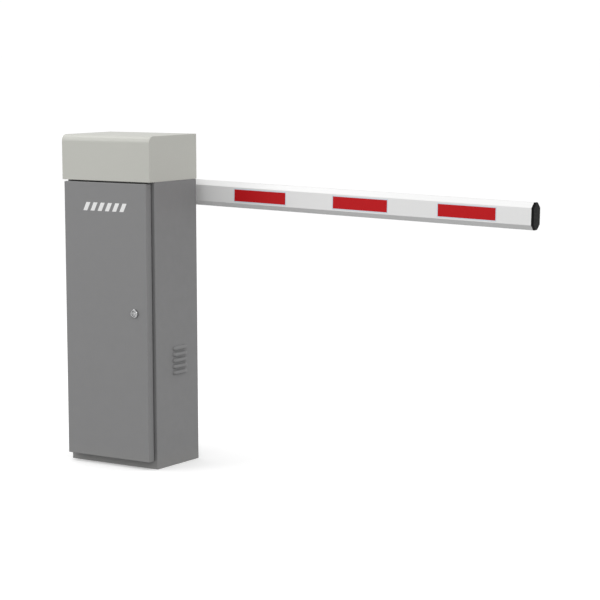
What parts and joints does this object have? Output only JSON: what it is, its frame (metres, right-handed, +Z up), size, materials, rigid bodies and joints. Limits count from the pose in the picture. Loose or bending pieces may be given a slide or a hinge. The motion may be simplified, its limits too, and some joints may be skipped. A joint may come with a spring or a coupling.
{
  "type": "parking barrier gate",
  "caption": "Automatic parking barrier: sheet-metal cabinet with lift-off lid and lockable door, and an octagonal boom raised by a crank and worm gearmotor.",
  "frame": {"origin": "centre of the cabinet's base on the floor, which is the centre of the anchor bolt pattern", "axes": "+Z up, +X along the lowered boom, the door faces -Y and the boom is on the +Y side"},
  "size_m": [1.4945, 0.362, 1.03],
  "materials": {
    "cabinet_paint": "fine-textured grey powder coat",
    "lid_paint": "fine-textured light grey powder coat",
    "zinc_steel": "bright zinc-plated sheet and bar",
    "fastener_steel": "zinc-plated fasteners",
    "machined_steel": "ground and turned steel",
    "cast_iron": "painted castings",
    "gearbox_alloy": "die-cast aluminium",
    "motor_paint": "blue machine enamel",
    "motor_iron": "laminated iron",
    "bronze": "bronze gear rim",
    "black_plastic": "black moulded plastic",
    "rubber": "black rubber",
    "spring_steel": "oil-tempered spring wire",
    "yoke_steel": "black painted steel",
    "chrome": "polished chrome",
    "cam_steel": "zinc-plated pressing",
    "mark_white": "white film",
    "circuit": "green solder mask",
    "winding": "varnished laminations",
    "boom_white": "white coated aluminium extrusion",
    "bracket_paint": "grey powder coat",
    "strip_border": "pale reflective film",
    "strip_red": "red retroreflective film"
  },
  "bodies": {
    "cabinet": {"cabinet_shell": "cabinet_paint", "base_plate": "zinc_steel", "cable_grommet": "rubber", "lid_collar": "zinc_steel", "hinge_leaves_cabinet": "cabinet_paint", "hinge_pins": "fastener_steel", "front_machine_plate": "zinc_steel", "rear_machine_plate": "zinc_steel", "plate_spacers": "zinc_steel", "frame_bolts": "fastener_steel", "bearing_housings": "cast_iron", "shaft_bearings": "machined_steel", "limit_switches": "black_plastic", "stop_buffers": "rubber", "buffer_studs": "fastener_steel", "gearbox_housing": "gearbox_alloy", "gearbox_cover": "gearbox_alloy", "cover_screws": "fastener_steel", "motor_housing": "motor_paint", "motor_stator": "motor_iron", "motor_terminal_box": "black_plastic", "spring_anchor": "zinc_steel", "tension_bolts": "fastener_steel", "control_plate": "zinc_steel", "control_board": "circuit", "transformer": "winding", "terminal_block": "black_plastic", "motor_cable": "rubber"},
    "boom_arm": {"main_shaft": "machined_steel", "rocker_lever": "cast_iron", "lever_pins": "machined_steel", "spring_roller": "machined_steel", "limit_cams": "black_plastic", "boom_bracket": "bracket_paint", "boom_clamp": "bracket_paint", "clamp_bolts": "fastener_steel", "boom": "boom_white", "boom_end_caps": "black_plastic", "strip_borders": "strip_border", "red_strips": "strip_red"},
    "connecting_rod": {"rod_ends": "machined_steel", "rod_bar": "machined_steel"},
    "crank": {"crank_arm": "cast_iron", "crank_pin": "machined_steel", "output_shaft": "machined_steel", "worm_wheel": "bronze"},
    "motor_rotor": {"worm_shaft": "machined_steel", "motor_rotor": "motor_iron", "handwheel": "black_plastic"},
    "spring_hanger": {"spring_yoke": "yoke_steel", "balance_springs": "spring_steel"},
    "door": {"door_panel": "cabinet_paint", "door_seal": "rubber", "hinge_leaves_door": "cabinet_paint", "lock_body": "chrome", "door_mark": "mark_white"},
    "lock": {"lock_plug": "chrome", "lock_cam": "cam_steel"},
    "lid": {"lid": "lid_paint", "lid_brackets": "zinc_steel"}
  },
  "joints": [
    {"name": "boom_lift", "type": "hinge", "parent": "cabinet", "child": "boom_arm", "pos_m": [0.03, 0, 0.845], "axis": [0, -1, 0], "range_deg": [0, 91.35]},
    {"name": "rod_swing", "type": "hinge", "parent": "boom_arm", "child": "connecting_rod", "pos_m": [0.07891, 0.054, 0.79492], "axis": [0, -1, 0], "range_deg": [-91.35, 0]},
    {"name": "crank_turn", "type": "hinge", "parent": "cabinet", "child": "crank", "pos_m": [0.03, 0, 0.595], "axis": [0, -1, 0], "range_deg": [0, 91.35]},
    {"name": "motor_turn", "type": "hinge", "parent": "cabinet", "child": "motor_rotor", "pos_m": [0.08, -0.027, 0.45], "axis": [0, 0, 1], "range_deg": [-3654, 0]},
    {"name": "spring_pull", "type": "slide", "parent": "cabinet", "child": "spring_hanger", "axis": [0, 0, 1], "range_m": [-0.08595, 0], "deforming": ["balance_springs"]},
    {"name": "door_hinge", "type": "hinge", "parent": "cabinet", "child": "door", "pos_m": [-0.1665, -0.1145, 0.455], "axis": [0, 0, 1], "range_deg": [-110, 0]},
    {"name": "lock_turn", "type": "hinge", "parent": "door", "child": "lock", "pos_m": [0.112, -0.13, 0.4867], "axis": [0, -1, 0], "range_deg": [0, 90]},
    {"name": "lid_lift", "type": "slide", "parent": "cabinet", "child": "lid", "axis": [0, 0, 1], "range_m": [0, 0.15]}
  ],
  "couplings": [
    {"joint": "rod_swing", "follows": "boom_lift", "ratio": -1},
    {"joint": "crank_turn", "follows": "boom_lift", "ratio": 1},
    {"joint": "motor_turn", "follows": "boom_lift", "ratio": -40},
    {"joint": "spring_pull", "follows": "boom_lift", "m_per_rad": -0.053844}
  ]
}
